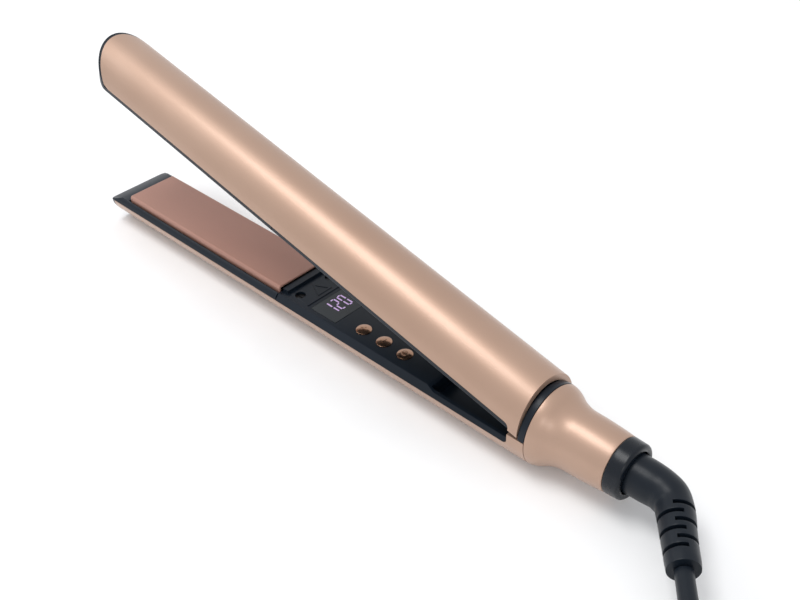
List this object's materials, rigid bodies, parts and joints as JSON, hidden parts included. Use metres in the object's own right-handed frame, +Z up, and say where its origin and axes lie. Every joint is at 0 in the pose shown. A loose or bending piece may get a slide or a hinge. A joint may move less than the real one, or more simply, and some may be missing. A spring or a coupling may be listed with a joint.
{
  "type": "flat iron",
  "caption": "Hair straightener: two long hinged arms with heating plates, display, three buttons and a swivel cord lying folded behind it.",
  "frame": {"origin": "on the resting flat of the lower arm, straight below the hinge pin", "axes": "+X along the arms towards the cord, the tip at -X; +Y along the hinge pin; +Z up"},
  "size_m": [0.4991, 0.0681, 0.0918],
  "materials": {
    "gold_shell": "satin rose-gold paint on plastic, pearl",
    "black_plastic": "satin blue-black",
    "gloss_black": "gloss",
    "inner_plastic": "heat-proof moulding",
    "plate": "copper-brown coated aluminium",
    "heater": "insulated ceramic heater",
    "silicone": "silicone",
    "sensor": "bead",
    "lead": "sleeve",
    "pane": "polished dark pane",
    "digits": "lit",
    "board": "solder mask",
    "copper_cap": "glossy copper-brown",
    "steel": "bright",
    "brass": "bright",
    "rubber": "satin black"
  },
  "bodies": {
    "lower_arm": {"lower_shell": "gold_shell", "lower_carrier": "black_plastic", "lower_cushions": "silicone", "lower_leads": "lead", "control_panel": "black_plastic", "display_window": "pane", "display_module": "gloss_black", "display_digits": "digits", "circuit_board": "board", "tact_switches": "gloss_black", "lower_screws": "steel", "hinge_ring": "black_plastic", "hinge_pin": "steel", "torsion_spring": "steel", "rear_neck": "gold_shell", "end_collar": "gloss_black", "contact_block": "inner_plastic", "contact_rings": "brass", "cord_tube": "rubber", "cord_hank": "rubber", "cord_tail": "rubber", "cord_tie": "gloss_black", "plug_body": "gloss_black", "plug_pins": "brass"},
    "upper_arm": {"upper_shell": "gold_shell", "upper_carrier": "black_plastic", "upper_inner_cover": "black_plastic", "upper_cushions": "silicone", "upper_leads": "lead", "upper_screws": "steel"},
    "lower_heating_plate": {"lower_plate": "plate", "lower_heater": "heater", "lower_plate_holder": "inner_plastic", "lower_thermistor": "sensor", "thermal_fuse": "sensor"},
    "upper_heating_plate": {"upper_plate": "plate", "upper_heater": "heater", "upper_plate_holder": "inner_plastic", "upper_thermistor": "sensor"},
    "plus_button": {"button_plus": "copper_cap"},
    "minus_button": {"button_minus": "copper_cap"},
    "power_button": {"button_power": "copper_cap"},
    "swivel": {"strain_relief": "rubber", "swivel_hub": "inner_plastic", "contact_brushes": "brass"}
  },
  "joints": [
    {"name": "arm_hinge", "type": "hinge", "parent": "lower_arm", "child": "upper_arm", "pos_m": [0, 0, 0.0174], "axis": [0, 1, 0], "range_deg": [-13.5, 0], "stiffness_Nm_per_rad": 0.45, "springref_deg": 18.33, "deforming": ["torsion_spring"]},
    {"name": "lower_plate_float", "type": "slide", "parent": "lower_arm", "child": "lower_heating_plate", "axis": [0, 0, 1], "range_m": [-0.0006, 0], "stiffness_N_per_m": 6000, "springref_m": 0.0004, "deforming": ["lower_cushions"]},
    {"name": "upper_plate_float", "type": "slide", "parent": "upper_arm", "child": "upper_heating_plate", "axis": [0.2334, 0, 0.9724], "range_m": [0, 0.0006], "stiffness_N_per_m": 6000, "springref_m": -0.0004, "deforming": ["upper_cushions"]},
    {"name": "cord_swivel", "type": "hinge", "parent": "lower_arm", "child": "swivel", "pos_m": [0.031, 0, 0.0154], "axis": [-1, 0, 0], "continuous": true},
    {"name": "plus_press", "type": "slide", "parent": "lower_arm", "child": "plus_button", "axis": [0, 0, 1], "range_m": [-0.0008, 0], "stiffness_N_per_m": 1500, "springref_m": 0.0004},
    {"name": "minus_press", "type": "slide", "parent": "lower_arm", "child": "minus_button", "axis": [0, 0, 1], "range_m": [-0.0008, 0], "stiffness_N_per_m": 1500, "springref_m": 0.0004},
    {"name": "power_press", "type": "slide", "parent": "lower_arm", "child": "power_button", "axis": [0, 0, 1], "range_m": [-0.0008, 0], "stiffness_N_per_m": 1500, "springref_m": 0.0004}
  ]
}
